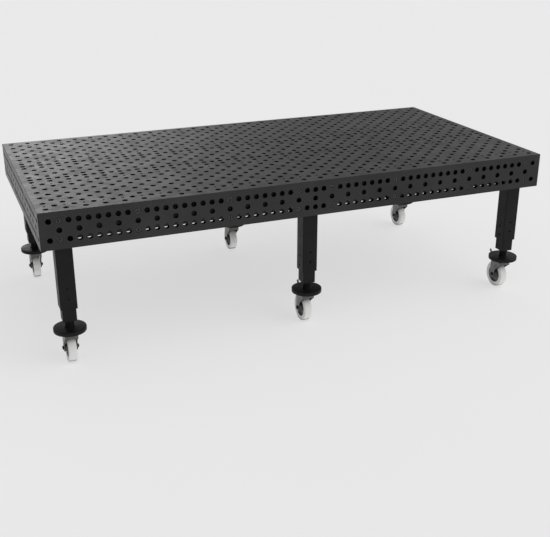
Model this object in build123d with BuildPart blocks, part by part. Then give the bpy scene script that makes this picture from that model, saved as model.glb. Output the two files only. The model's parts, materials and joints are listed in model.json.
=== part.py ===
from build123d import *
import os

# A welding table: a perforated steel top with deep perforated sides, stiffened by a
# grid of ribs and standing on six telescopic legs with braked swivel casters.
# Millimetres; X along the length, Y towards the back, Z up. The origin is on the
# floor under the middle of the top.

# Driving dimensions ---------------------------------------------------------------

LENGTH = 3000.0
WIDTH = 1500.0
HEIGHT = 900.0              # floor to working surface
SIDE_HEIGHT = 200.0         # top edge to bottom edge of the sides
PLATE = 25.0                # thickness of the top and of the sides
EDGE_BREAK = 1.5            # chamfer on the outer edges of the top and of a foot disc

GRID = 100.0                # pitch of the bores in the top
EDGE_GRID = 50.0            # pitch of the bores and of their rows along the sides
BORE_R = 14.0
BORE_MOUTH_R = 15.8         # outer radius of a bore's chamfered mouth
MOUTH_ANGLE = 90.0          # included angle of that chamfer
DOUBLED_ROW_Y = 150.0       # extra rows of bores between the regular ones

RIB_X = (-1400.0, -1000.0, -500.0, -100.0, 100.0, 500.0, 1000.0, 1400.0)
RIB_Y = (-650.0, -250.0, 250.0, 650.0)
RIB_T = 15.0
RIB_H = 159.0
RELIEF_R = 22.0             # cut-outs that keep the ribs clear of the bores
SLOT_PLAY = 0.4             # a cross-lap slot is this much wider than a rib

LEG_X = 1380.0
LEG_Y = 645.0
PAD = 150.0                 # side of a leg's square flange and of a corner pad
MIDDLE_PAD = 230.0          # length of a pad that bridges two cross ribs
PAD_T = 8.0                 # thickness of a pad and of a leg's flange
FLANGE_CORNER_R = 10.0
FLANGE_BOLT_OFFSET = 60.0
OUTER_TUBE = 90.0
OUTER_WALL = 7.0
OUTER_CORNER_R = 6.0
OUTER_BOTTOM_Z = 338.0
INNER_TUBE = 75.0
INNER_WALL = 6.0
INNER_CORNER_R = 5.0
INNER_BOTTOM_Z = 265.0
INNER_TOP_Z = 575.0
TUBE_INSIDE_R = 2.0         # corner radius inside either tube
CLAMP_ACROSS = (60.0, 120.0)    # clamp screws above the tube's bottom, front or back face
CLAMP_ALONG = (30.0, 90.0)      # clamp screws above the tube's bottom, left face
NUT_BLOCK_T = 30.0          # threaded block closing the bottom of an inner tube
SPINDLE_R = 25.0
SPINDLE_TOP_Z = 435.0
SPINDLE_CHAMFER = 2.0
DISC_R = 88.0
DISC_T = 22.0
CASTER_H = 200.0            # floor to the disc's underside

CASTER_PLATE_X = 94.0
CASTER_PLATE_Y = 110.0
CASTER_PLATE_T = 5.0
CASTER_PLATE_R = 8.0
CASTER_BOLT_X = 35.0
CASTER_BOLT_Y = 43.0
CASTER_BOLT_GRIP = 14.0     # how far a caster bolt runs into the disc
CASTER_TAP_DEPTH = 15.0
RACE_R = 36.0
RACE_T = 7.0
KINGPIN_R = 9.0
KINGPIN_HEAD_R = 14.0
KINGPIN_HEAD_T = 6.7
KINGPIN_TAPER = 12.0        # degrees
SWIVEL_PLAY = 0.3           # axial gap between the fork and what it turns against

WHEEL_R = 80.0
WHEEL_W = 46.0
WHEEL_EDGE_R = 5.0
RIM_INNER_R = 62.0
WEB_W = 18.0
HUB_R = 22.0
HUB_W = 60.0
SLEEVE_R = 10.0
TRAIL = 45.0                # from the swivel axis back to the axle
FORK_GAP = 62.0             # inside width between the fork's two sides
FORK_T = 5.0
FORK_END_R = 22.0           # round lower end of a fork side
FORK_FRONT_Y = -40.0
FORK_BACK_Y = 66.0
FORK_HEEL_R = 8.0
FORK_HEEL_Z = 160.0
CROWN_T = 5.7
CROWN_R = 14.0              # corner radius of the crown
APRON_BOTTOM_Z = 158.0      # the crown is turned down at the front to this height
APRON_BACK_Y = -10.0
CROWN_HUB_R = 22.0
CROWN_HUB_H = 10.0
RUNNING_PLAY = 0.06         # radial clearance of a shaft in its bore

PEDAL_PIVOT = (58.0, 170.0)     # these four lie behind the swivel axis, above the floor
PEDAL_START = (58.0, 172.0)
PEDAL_BEND = (92.0, 184.0)
PEDAL_TIP = (132.0, 221.0)
PEDAL_W = 16.0
PEDAL_T = 4.0
PEDAL_PIN_R = 4.0
PEDAL_SLEEVE_R = 8.0
PEDAL_SLEEVE_W = 44.0
LOBE_R = 4.0
LOBE_SHIFT = (1.1, -6.3)    # from the pivot to the lobe that jams the wheel

# Fasteners: shank radius, head across flats and thickness, play of a hole round a shank
M8_R = 4.0
M8_AF = 13.0
M8_HEAD_T = 5.3
M12_R = 6.0
M12_AF = 19.0
M12_HEAD_T = 7.5
M12_NUT_T = 8.0
NUT_END = 2.0               # thread standing out of a nut
HOLE_PLAY = 0.3
THREAD_PLAY = 0.05

TOP_HEAD_R = 6.8
TOP_HEAD_T = 8.0
TOP_SINK_R = 7.0
TOP_SINK_DEPTH = 14.0
TOP_SOCKET = (6.0, 4.0)     # across flats, depth
SIDE_HEAD_R = 15.0
SIDE_HEAD_T = 9.5
SIDE_SINK_R = 15.3
SIDE_SINK_DEPTH = 10.0
SIDE_SOCKET = (10.0, 6.0)
CLAMP_SOCKET_AF = 6.0
CLAMP_FLOOR = 1.5           # metal left under a clamp screw's socket
CLAMP_SUNK = 3.5
SCREW_GRIP = 22.0           # depth of a tapped hole in a rib
SCREW_END_PLAY = 1.0

# Heights worked out from the driving dimensions -------------------------------------

PLATE_UNDER_Z = HEIGHT - PLATE
SIDE_BOTTOM_Z = HEIGHT - SIDE_HEIGHT
RIB_BOTTOM_Z = PLATE_UNDER_Z - RIB_H
RIB_MIDDLE_Z = PLATE_UNDER_Z - RIB_H / 2
PAD_BOTTOM_Z = RIB_BOTTOM_Z - PAD_T
FLANGE_BOTTOM_Z = PAD_BOTTOM_Z - PAD_T
DISC_TOP_Z = CASTER_H + DISC_T
CASTER_PLATE_BOTTOM_Z = CASTER_H - CASTER_PLATE_T
RACE_BOTTOM_Z = CASTER_PLATE_BOTTOM_Z - RACE_T
CROWN_TOP_Z = RACE_BOTTOM_Z - SWIVEL_PLAY
CROWN_BOTTOM_Z = CROWN_TOP_Z - CROWN_T
CROWN_HUB_BOTTOM_Z = CROWN_BOTTOM_Z - CROWN_HUB_H
KINGPIN_HEAD_TOP_Z = CROWN_HUB_BOTTOM_Z - SWIVEL_PLAY
ROW_Z = (HEIGHT - EDGE_GRID, HEIGHT - 3 * EDGE_GRID)    # fully bored rows of a side
MIDDLE_ROW_Z = HEIGHT - 2 * EDGE_GRID

LEGS = {
    "front_left": (-LEG_X, -LEG_Y),
    "front_middle": (0.0, -LEG_Y),
    "front_right": (LEG_X, -LEG_Y),
    "back_left": (-LEG_X, LEG_Y),
    "back_middle": (0.0, LEG_Y),
    "back_right": (LEG_X, LEG_Y),
}

# Outer face of each side: its local X runs along the side and its local Y up
FACES = {
    "front": Plane((0, -WIDTH / 2, 0), x_dir=(1, 0, 0), z_dir=(0, -1, 0)),
    "back": Plane((0, WIDTH / 2, 0), x_dir=(-1, 0, 0), z_dir=(0, 1, 0)),
    "left": Plane((-LENGTH / 2, 0, 0), x_dir=(0, -1, 0), z_dir=(-1, 0, 0)),
    "right": Plane((LENGTH / 2, 0, 0), x_dir=(0, 1, 0), z_dir=(1, 0, 0)),
}
SIDE_LENGTHS = {"front": LENGTH, "back": LENGTH}        # the ends fit between these
RIB_ENDS = {"front": RIB_X, "back": RIB_X, "left": RIB_Y, "right": RIB_Y}

CASTER_BOLTS = [(i * CASTER_BOLT_X, j * CASTER_BOLT_Y) for i in (-1, 1) for j in (-1, 1)]


def steps(span, pitch):
    """Centred positions at a pitch, one pitch clear of both ends of a span."""
    count = round(span / pitch) - 1
    return [pitch * (i - (count - 1) / 2) for i in range(count)]


def overall_length(side):
    """Length of a side of the table, corners included."""
    return LENGTH if side in SIDE_LENGTHS else WIDTH


def plate_length(side):
    """Length of the side's own plate."""
    return SIDE_LENGTHS.get(side, WIDTH - 2 * PLATE)


def screw_places(side):
    """Where screws hold a side to the rib ends, in the plane of its outer face."""
    return [(x, z) for x in RIB_ENDS[side] for z in ROW_Z]


def finish(piece, name):
    """Label a finished piece and write it as a part file."""
    piece.part.label = name
    export_step(piece.part, f"parts/{name}.step")


# Top, sides and ribs ---------------------------------------------------------------


def make_table_top():
    columns = round(LENGTH / GRID)
    rows = round(WIDTH / GRID)
    with BuildPart() as table_top:
        with BuildSketch(Plane.XY.offset(PLATE_UNDER_Z)):
            Rectangle(LENGTH, WIDTH)
        extrude(amount=PLATE)
        chamfer(table_top.edges().group_by(Axis.Z)[-1], EDGE_BREAK)
        for grid in (
            (GRID, GRID, columns, rows),
            (GRID, 2 * DOUBLED_ROW_Y, columns, 2),
            (GRID, GRID, columns - 1, rows - 1),
        ):
            with Locations(Plane.XY.offset(HEIGHT)):
                with GridLocations(*grid):
                    CounterSinkHole(BORE_R, BORE_MOUTH_R, counter_sink_angle=MOUTH_ANGLE)
        with Locations(Plane.XY.offset(HEIGHT)):
            with Locations(*top_screw_places()):
                CounterBoreHole(M8_R + HOLE_PLAY, TOP_SINK_R, TOP_SINK_DEPTH)
    finish(table_top, "table_top")


def top_screw_places():
    """Screws along the long ribs, half-way between the bores over each rib."""
    return [(x, y) for y in RIB_Y for x in steps(LENGTH + GRID, GRID)]


def make_side(side):
    face = FACES[side]
    screws = screw_places(side)
    taken = {x for x, _ in screws}
    rows = [(x, z) for x in steps(overall_length(side), EDGE_GRID) for z in ROW_Z if x not in taken]
    middle = [(x, MIDDLE_ROW_Z) for x in steps(overall_length(side), GRID)]
    with BuildPart() as plate:
        with BuildSketch(face.offset(-PLATE)):
            with Locations((0, (PLATE_UNDER_Z + SIDE_BOTTOM_Z) / 2)):
                Rectangle(plate_length(side), SIDE_HEIGHT - PLATE)
        extrude(amount=PLATE)
        with Locations(face):
            with Locations(*rows, *middle):
                CounterSinkHole(BORE_R, BORE_MOUTH_R, counter_sink_angle=MOUTH_ANGLE)
            with Locations(*screws):
                CounterBoreHole(M8_R + HOLE_PLAY, SIDE_SINK_R, SIDE_SINK_DEPTH)
    finish(plate, f"side_{side}")


def rib_profile(length, bores, slots, slot_z):
    """Outline of a rib in its own plane, with reliefs, end notches and slots."""
    with Locations((0, RIB_MIDDLE_Z)):
        Rectangle(length, RIB_H)
    with Locations(*[(x, PLATE_UNDER_Z) for x in bores]):
        Circle(RELIEF_R, mode=Mode.SUBTRACT)
    with Locations((-length / 2, MIDDLE_ROW_Z), (length / 2, MIDDLE_ROW_Z)):
        Circle(RELIEF_R, mode=Mode.SUBTRACT)
    with Locations(*[(x, slot_z) for x in slots]):
        Rectangle(RIB_T + SLOT_PLAY, RIB_H / 2, mode=Mode.SUBTRACT)


def drill_rib_ends(*sides):
    """Tapped holes in the rib ends, from the inner faces of two opposite sides."""
    for side in sides:
        with Locations(FACES[side].offset(-PLATE)):
            with Locations(*screw_places(side)):
                Hole(M8_R + THREAD_PLAY, depth=SCREW_GRIP)


def make_long_ribs():
    with BuildPart() as long_ribs:
        for y in RIB_Y:
            with BuildSketch(Plane.XZ.offset(-y)):
                rib_profile(LENGTH - 2 * PLATE, steps(LENGTH, GRID), RIB_X, RIB_BOTTOM_Z + RIB_H / 4)
            extrude(amount=RIB_T / 2, both=True)
        drill_rib_ends("left", "right")
        with Locations(Plane.XY.offset(PLATE_UNDER_Z)):
            with Locations(*top_screw_places()):
                Hole(M8_R + THREAD_PLAY, depth=SCREW_GRIP)
    finish(long_ribs, "long_ribs")


def make_cross_ribs():
    with BuildPart() as cross_ribs:
        for x in RIB_X:
            with BuildSketch(Plane.YZ.offset(x)):
                rib_profile(WIDTH - 2 * PLATE, steps(WIDTH, GRID), RIB_Y, PLATE_UNDER_Z - RIB_H / 4)
            extrude(amount=RIB_T / 2, both=True)
        drill_rib_ends("front", "back")
    finish(cross_ribs, "cross_ribs")


# Fasteners of the top and of the sides ------------------------------------------------


def socket_screws(plane, places, grip, head_r, head_t, socket):
    """Socket screws whose heads sit on a plane, at places in it, pointing down into it."""
    socket_af, socket_depth = socket
    with BuildPart() as screws:
        with BuildSketch(plane.offset(-grip)):
            with Locations(*places):
                Circle(M8_R)
        extrude(amount=grip)
        with BuildSketch(plane):
            with Locations(*places):
                Circle(head_r)
        extrude(amount=head_t - socket_depth)
        with BuildSketch(plane.offset(head_t - socket_depth)):
            with Locations(*places):
                Circle(head_r)
                RegularPolygon(socket_af / 2, 6, major_radius=False, mode=Mode.SUBTRACT)
        extrude(amount=socket_depth)
    return screws


def make_top_screws():
    seat = Plane.XY.offset(HEIGHT - TOP_SINK_DEPTH)
    grip = PLATE - TOP_SINK_DEPTH + SCREW_GRIP - SCREW_END_PLAY
    top_screws = socket_screws(seat, top_screw_places(), grip, TOP_HEAD_R, TOP_HEAD_T, TOP_SOCKET)
    finish(top_screws, "top_screws")


def make_side_screws():
    grip = PLATE - SIDE_SINK_DEPTH + SCREW_GRIP - SCREW_END_PLAY
    sets = []
    for side, face in FACES.items():
        seat = face.offset(-SIDE_SINK_DEPTH)
        sets.append(socket_screws(seat, screw_places(side), grip, SIDE_HEAD_R, SIDE_HEAD_T, SIDE_SOCKET))
    with BuildPart() as side_screws:
        add([screws.part for screws in sets])
    finish(side_screws, "side_screws")


# Leg mounting --------------------------------------------------------------------------


def flange_bolt_places(x, y):
    offset = FLANGE_BOLT_OFFSET
    return [(x + i * offset, y + j * offset) for i in (-1, 1) for j in (-1, 1)]


def make_leg_pads():
    with BuildPart() as leg_pads:
        for x, y in LEGS.values():
            with BuildSketch(Plane.XY.offset(PAD_BOTTOM_Z)):
                with Locations((x, y)):
                    Rectangle(PAD if x else MIDDLE_PAD, PAD)
                with Locations(*flange_bolt_places(x, y)):
                    Circle(M12_R + THREAD_PLAY, mode=Mode.SUBTRACT)
            extrude(amount=PAD_T)
    finish(leg_pads, "leg_pads")


def make_leg_bolts():
    with BuildPart() as leg_bolts:
        for x, y in LEGS.values():
            with BuildSketch(Plane.XY.offset(FLANGE_BOTTOM_Z - M12_HEAD_T)):
                with Locations(*flange_bolt_places(x, y)):
                    RegularPolygon(M12_AF / 2, 6, major_radius=False)
            extrude(amount=M12_HEAD_T)
            with BuildSketch(Plane.XY.offset(FLANGE_BOTTOM_Z)):
                with Locations(*flange_bolt_places(x, y)):
                    Circle(M12_R)
            extrude(amount=2 * PAD_T)
    finish(leg_bolts, "leg_bolts")


def clamp_faces(x, y):
    """Outer tube faces that hold clamp screws, each with the places of its screws in it."""
    outward = -1 if y < 0 else 1
    half = OUTER_TUBE / 2
    across = Plane((x, y + outward * half, 0), x_dir=(-outward, 0, 0), z_dir=(0, outward, 0))
    along = Plane((x - half, y, 0), x_dir=(0, -1, 0), z_dir=(-1, 0, 0))
    return (
        (across, [(0, OUTER_BOTTOM_Z + rise) for rise in CLAMP_ACROSS]),
        (along, [(0, OUTER_BOTTOM_Z + rise) for rise in CLAMP_ALONG]),
    )


def make_clamp_screws():
    with BuildPart() as clamp_screws:
        for x, y in LEGS.values():
            for face, places in clamp_faces(x, y):
                with BuildSketch(face.offset(-OUTER_WALL)):
                    with Locations(*places):
                        Circle(M12_R)
                extrude(amount=CLAMP_FLOOR)
                with BuildSketch(face.offset(CLAMP_FLOOR - OUTER_WALL)):
                    with Locations(*places):
                        Circle(M12_R)
                        RegularPolygon(CLAMP_SOCKET_AF / 2, 6, major_radius=False, mode=Mode.SUBTRACT)
                extrude(amount=OUTER_WALL - CLAMP_FLOOR - CLAMP_SUNK)
    finish(clamp_screws, "clamp_screws")


# One leg ---------------------------------------------------------------------------------


def tube_section(width, wall, corner_r):
    """Section of a square tube, at the place that the caller has set."""
    RectangleRounded(width, width, corner_r)
    RectangleRounded(width - 2 * wall, width - 2 * wall, TUBE_INSIDE_R, mode=Mode.SUBTRACT)


def make_leg_tube(leg, x, y):
    with BuildPart() as leg_tube:
        with BuildSketch(Plane.XY.offset(OUTER_BOTTOM_Z)):
            with Locations((x, y)):
                tube_section(OUTER_TUBE, OUTER_WALL, OUTER_CORNER_R)
        extrude(amount=FLANGE_BOTTOM_Z - OUTER_BOTTOM_Z)
        with BuildSketch(Plane.XY.offset(FLANGE_BOTTOM_Z)):
            with Locations((x, y)):
                RectangleRounded(PAD, PAD, FLANGE_CORNER_R)
            with Locations(*flange_bolt_places(x, y)):
                Circle(M12_R + HOLE_PLAY, mode=Mode.SUBTRACT)
        extrude(amount=PAD_T)
        for face, places in clamp_faces(x, y):
            with Locations(face):
                with Locations(*places):
                    Hole(M12_R + THREAD_PLAY, depth=OUTER_WALL + 1)
    finish(leg_tube, f"leg_tube_{leg}")


def make_inner_tube(leg, x, y):
    with BuildPart() as inner_tube:
        with BuildSketch(Plane.XY.offset(INNER_BOTTOM_Z)):
            with Locations((x, y)):
                RectangleRounded(INNER_TUBE, INNER_TUBE, INNER_CORNER_R)
                Circle(SPINDLE_R + RUNNING_PLAY, mode=Mode.SUBTRACT)
        extrude(amount=NUT_BLOCK_T)
        with BuildSketch(Plane.XY.offset(INNER_BOTTOM_Z + NUT_BLOCK_T)):
            with Locations((x, y)):
                tube_section(INNER_TUBE, INNER_WALL, INNER_CORNER_R)
        extrude(amount=INNER_TOP_Z - INNER_BOTTOM_Z - NUT_BLOCK_T)
    finish(inner_tube, f"inner_tube_{leg}")


def make_foot_spindle(leg, x, y):
    """Round foot plate, tapped for the caster, on the spindle that sets the height."""
    with BuildPart() as foot_spindle:
        with BuildSketch(Plane.XY.offset(CASTER_H)):
            with Locations((x, y)):
                Circle(DISC_R)
        extrude(amount=DISC_T)
        chamfer(foot_spindle.edges().filter_by(GeomType.CIRCLE), EDGE_BREAK)
        with BuildSketch(Plane.XY.offset(DISC_TOP_Z)):
            with Locations((x, y)):
                Circle(SPINDLE_R)
        extrude(amount=SPINDLE_TOP_Z - DISC_TOP_Z)
        chamfer(foot_spindle.edges().group_by(Axis.Z)[-1], SPINDLE_CHAMFER)
        with Locations(Plane((x, y, CASTER_H), z_dir=(0, 0, -1))):
            with Locations(*CASTER_BOLTS):
                Hole(M8_R + THREAD_PLAY, depth=CASTER_TAP_DEPTH)
    finish(foot_spindle, f"foot_spindle_{leg}")


def make_caster_plate(leg, x, y):
    """Top plate with its bearing race and kingpin, and the four bolts that hold it."""
    with BuildPart() as caster_plate:
        with BuildSketch(Plane((x, y, CASTER_PLATE_BOTTOM_Z))):
            RectangleRounded(CASTER_PLATE_X, CASTER_PLATE_Y, CASTER_PLATE_R)
            with Locations(*CASTER_BOLTS):
                Circle(M8_R + HOLE_PLAY, mode=Mode.SUBTRACT)
        extrude(amount=CASTER_PLATE_T)
        with BuildSketch(Plane((x, y, RACE_BOTTOM_Z))):
            Circle(RACE_R)
        extrude(amount=RACE_T)
        with BuildSketch(Plane((x, y, KINGPIN_HEAD_TOP_Z))):
            Circle(KINGPIN_R)
        extrude(amount=RACE_BOTTOM_Z - KINGPIN_HEAD_TOP_Z)
        with BuildSketch(Plane((x, y, KINGPIN_HEAD_TOP_Z))):
            Circle(KINGPIN_HEAD_R)
        extrude(amount=-KINGPIN_HEAD_T, taper=KINGPIN_TAPER)
        with BuildSketch(Plane((x, y, CASTER_PLATE_BOTTOM_Z - M8_HEAD_T))):
            with Locations(*CASTER_BOLTS):
                RegularPolygon(M8_AF / 2, 6, major_radius=False)
        extrude(amount=M8_HEAD_T)
        with BuildSketch(Plane((x, y, CASTER_PLATE_BOTTOM_Z))):
            with Locations(*CASTER_BOLTS):
                Circle(M8_R)
        extrude(amount=CASTER_PLATE_T + CASTER_BOLT_GRIP)
    finish(caster_plate, f"caster_plate_{leg}")


def side_plane(x, y, z=0.0):
    """A plane seen from the right: local X runs back from y and local Y up from z."""
    return Plane((x, y, z), x_dir=(0, 1, 0), z_dir=(1, 0, 0))


def fork_cheek():
    """Outline of a fork side: the crown drawn in to the axle, with its two bores."""
    crown_middle = (FORK_FRONT_Y + FORK_BACK_Y) / 2
    with Locations((TRAIL, WHEEL_R)):
        Circle(FORK_END_R)
    with Locations((crown_middle, CROWN_TOP_Z - CROWN_T / 2)):
        Rectangle(FORK_BACK_Y - FORK_FRONT_Y - 2 * CROWN_R, CROWN_T)
    with Locations((FORK_BACK_Y - FORK_HEEL_R, FORK_HEEL_Z)):
        Circle(FORK_HEEL_R)
    make_hull()
    with Locations((TRAIL, WHEEL_R)):
        Circle(M12_R + THREAD_PLAY, mode=Mode.SUBTRACT)
    with Locations(PEDAL_PIVOT):
        Circle(PEDAL_PIN_R, mode=Mode.SUBTRACT)


def fork_apron():
    """Plan of the crown's turned-down front, which wraps round onto both fork sides."""
    width = FORK_GAP + 2 * FORK_T
    length = FORK_BACK_Y - FORK_FRONT_Y
    with Locations((0, (FORK_FRONT_Y + FORK_BACK_Y) / 2)):
        RectangleRounded(width, length, CROWN_R)
        RectangleRounded(FORK_GAP, length - 2 * FORK_T, CROWN_R - FORK_T, mode=Mode.SUBTRACT)
    with Locations((0, APRON_BACK_Y + length / 2)):
        Rectangle(width, length, mode=Mode.SUBTRACT)


def make_fork(leg, x, y):
    """Swivel fork with its two sides, and the pin that its brake pedal turns on."""
    half_fork = FORK_GAP / 2 + FORK_T
    with BuildPart() as fork:
        with BuildSketch(Plane((x, y, CROWN_BOTTOM_Z))):
            with Locations((0, (FORK_FRONT_Y + FORK_BACK_Y) / 2)):
                RectangleRounded(2 * half_fork, FORK_BACK_Y - FORK_FRONT_Y, CROWN_R)
            Circle(KINGPIN_R + RUNNING_PLAY, mode=Mode.SUBTRACT)
        extrude(amount=CROWN_T)
        with BuildSketch(Plane((x, y, CROWN_HUB_BOTTOM_Z))):
            Circle(CROWN_HUB_R)
            Circle(KINGPIN_R + RUNNING_PLAY, mode=Mode.SUBTRACT)
        extrude(amount=CROWN_HUB_H)
        with BuildSketch(Plane((x, y, APRON_BOTTOM_Z))):
            fork_apron()
        extrude(amount=CROWN_BOTTOM_Z - APRON_BOTTOM_Z)
        for cheek_x in (-half_fork, FORK_GAP / 2):
            with BuildSketch(side_plane(x + cheek_x, y)):
                fork_cheek()
            extrude(amount=FORK_T)
        with BuildSketch(side_plane(x - half_fork, y)):
            with Locations(PEDAL_PIVOT):
                Circle(PEDAL_PIN_R)
        extrude(amount=2 * half_fork)
    finish(fork, f"fork_{leg}")


def make_axle(leg, x, y):
    """Axle bolt and nut through the fork, with the sleeve that the wheel turns on."""
    centre = side_plane(x, y + TRAIL, WHEEL_R)
    half_fork = FORK_GAP / 2 + FORK_T
    with BuildPart() as axle:
        with BuildSketch(centre.offset(-half_fork - M12_NUT_T)):
            RegularPolygon(M12_AF / 2, 6, major_radius=False)
        extrude(amount=M12_NUT_T)
        with BuildSketch(centre.offset(-half_fork)):
            Circle(M12_R)
        extrude(amount=2 * half_fork + M12_NUT_T + NUT_END)
        with BuildSketch(centre.offset(half_fork)):
            RegularPolygon(M12_AF / 2, 6, major_radius=False)
            Circle(M12_R + THREAD_PLAY, mode=Mode.SUBTRACT)
        extrude(amount=M12_NUT_T)
        with BuildSketch(centre.offset(-FORK_GAP / 2)):
            Circle(SLEEVE_R)
            Circle(M12_R + THREAD_PLAY, mode=Mode.SUBTRACT)
        extrude(amount=FORK_GAP)
    finish(axle, f"axle_{leg}")


def make_wheel(leg, x, y):
    """Wheel with a wide rim, a thin web and a hub that runs on the axle's sleeve."""
    with BuildPart() as wheel:
        for radius, hole_r, width in (
            (WHEEL_R, RIM_INNER_R, WHEEL_W),
            (RIM_INNER_R, HUB_R, WEB_W),
            (HUB_R, SLEEVE_R + RUNNING_PLAY, HUB_W),
        ):
            with BuildSketch(side_plane(x, y + TRAIL, WHEEL_R)):
                Circle(radius)
                Circle(hole_r, mode=Mode.SUBTRACT)
            extrude(amount=width / 2, both=True)
        rim = wheel.edges().filter_by(GeomType.CIRCLE).group_by(SortBy.RADIUS)[-1]
        fillet(rim, WHEEL_EDGE_R)
    finish(wheel, f"wheel_{leg}")


def make_brake_pedal(leg, x, y):
    """Foot pedal with its pivot sleeve and the lobe that jams the wheel."""
    side = side_plane(x, y)
    lobe = Vector(PEDAL_PIVOT) + Vector(LOBE_SHIFT)
    with BuildPart() as brake_pedal:
        with BuildSketch(side):
            with BuildLine():
                run = Line(PEDAL_START, PEDAL_BEND)
                TangentArc(PEDAL_BEND, PEDAL_TIP, tangent=run % 1)
            trace(line_width=PEDAL_T)
        extrude(amount=PEDAL_W / 2, both=True)
        with BuildSketch(side):
            with Locations(PEDAL_PIVOT):
                Circle(PEDAL_SLEEVE_R)
            with Locations(lobe):
                Circle(LOBE_R)
        extrude(amount=PEDAL_SLEEVE_W / 2, both=True)
        with BuildSketch(side):
            with Locations(PEDAL_PIVOT):
                Circle(PEDAL_PIN_R + RUNNING_PLAY)
        extrude(amount=PEDAL_SLEEVE_W / 2, both=True, mode=Mode.SUBTRACT)
    finish(brake_pedal, f"brake_pedal_{leg}")


def main():
    os.makedirs("parts", exist_ok=True)
    make_table_top()
    for side in FACES:
        make_side(side)
    make_long_ribs()
    make_cross_ribs()
    make_top_screws()
    make_side_screws()
    make_leg_pads()
    make_leg_bolts()
    make_clamp_screws()
    for leg, (x, y) in LEGS.items():
        make_leg_tube(leg, x, y)
        make_inner_tube(leg, x, y)
        make_foot_spindle(leg, x, y)
        make_caster_plate(leg, x, y)
        make_fork(leg, x, y)
        make_axle(leg, x, y)
        make_wheel(leg, x, y)
        make_brake_pedal(leg, x, y)


main()
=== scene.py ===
import json
import math

import bmesh
import bpy
from mathutils import Matrix, Vector


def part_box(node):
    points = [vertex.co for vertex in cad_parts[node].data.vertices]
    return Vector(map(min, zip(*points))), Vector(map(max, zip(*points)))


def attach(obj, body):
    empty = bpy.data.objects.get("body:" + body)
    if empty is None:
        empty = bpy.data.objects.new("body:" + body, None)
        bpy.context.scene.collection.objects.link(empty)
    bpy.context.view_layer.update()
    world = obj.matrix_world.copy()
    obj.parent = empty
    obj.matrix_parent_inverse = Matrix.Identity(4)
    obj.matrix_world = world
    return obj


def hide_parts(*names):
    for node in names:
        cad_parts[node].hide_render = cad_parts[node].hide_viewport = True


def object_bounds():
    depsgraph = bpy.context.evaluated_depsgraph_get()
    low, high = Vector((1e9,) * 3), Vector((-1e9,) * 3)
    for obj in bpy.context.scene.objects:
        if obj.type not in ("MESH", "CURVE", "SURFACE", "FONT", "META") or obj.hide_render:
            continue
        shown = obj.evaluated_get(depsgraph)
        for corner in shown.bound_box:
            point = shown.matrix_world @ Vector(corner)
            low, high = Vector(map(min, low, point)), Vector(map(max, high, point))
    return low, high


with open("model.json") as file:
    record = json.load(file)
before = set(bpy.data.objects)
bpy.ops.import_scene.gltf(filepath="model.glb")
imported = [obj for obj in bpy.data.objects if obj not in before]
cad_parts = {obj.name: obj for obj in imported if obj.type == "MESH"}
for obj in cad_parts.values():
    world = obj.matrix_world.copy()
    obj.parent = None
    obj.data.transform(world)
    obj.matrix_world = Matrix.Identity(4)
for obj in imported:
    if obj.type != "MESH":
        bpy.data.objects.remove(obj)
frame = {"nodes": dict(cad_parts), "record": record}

# The looks of a welding table: materials for the CAD nodes, finer meshes for the
# casters, feet and side screws, a pale floor, soft light and the camera. Metres, but
# millimetres where meshes are built.

cad_low, cad_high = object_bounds()
scene = bpy.context.scene
scene.view_settings.view_transform = "Standard"

LEGS = ("front_left", "front_middle", "front_right", "back_left", "back_middle", "back_right")
MM = 0.001
TRAIL = 45.0                 # axle behind the swivel axis, in millimetres
AXLE_Z = 80.0                # height of the axle, which is the wheel's radius


# Materials ---------------------------------------------------------------------------

# Tones, in linear light
# Painted shade, mixed in deep in bores, seams and corners
RECESS_SHADE = (0.001, 0.001, 0.001)
NITRIDE_DARK = (0.022, 0.0225, 0.023)
NITRIDE_PALE = (0.032, 0.0325, 0.033)
NITRIDE_BLOTCH = (0.018, 0.018, 0.019)
NITRIDE_WORN = (0.11, 0.11, 0.11)
SCALE_BLUE = (0.026, 0.027, 0.031)
SCALE_GREY = (0.045, 0.044, 0.043)
RUST = (0.10, 0.055, 0.035)
PAINT_BLACK = (0.010, 0.010, 0.0105)
PAINT_DUSTY = (0.019, 0.019, 0.0195)
PAINT_RUBBED = (0.07, 0.07, 0.07)
OXIDE_BLACK = (0.014, 0.014, 0.016)
OXIDE_GREY = (0.032, 0.032, 0.034)
ZINC_DARK = (0.09, 0.092, 0.095)
ZINC_PALE = (0.17, 0.17, 0.167)
ZINC_EDGE_HIGHLIGHT = (0.50, 0.50, 0.49)
ZINC_CORNER_SHADE = (0.03, 0.03, 0.03)
TYRE_WHITE = (0.80, 0.80, 0.785)
TYRE_DIRTY = (0.55, 0.54, 0.51)
TYRE_CORNER_SHADE = (0.06, 0.06, 0.06)
HUB_PAINTED_SHADE = (0.12, 0.12, 0.12)
HUB_FROM, HUB_TO = 0.055, 0.051      # where the tyre's white ends and the painted shade of the hub begins


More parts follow.
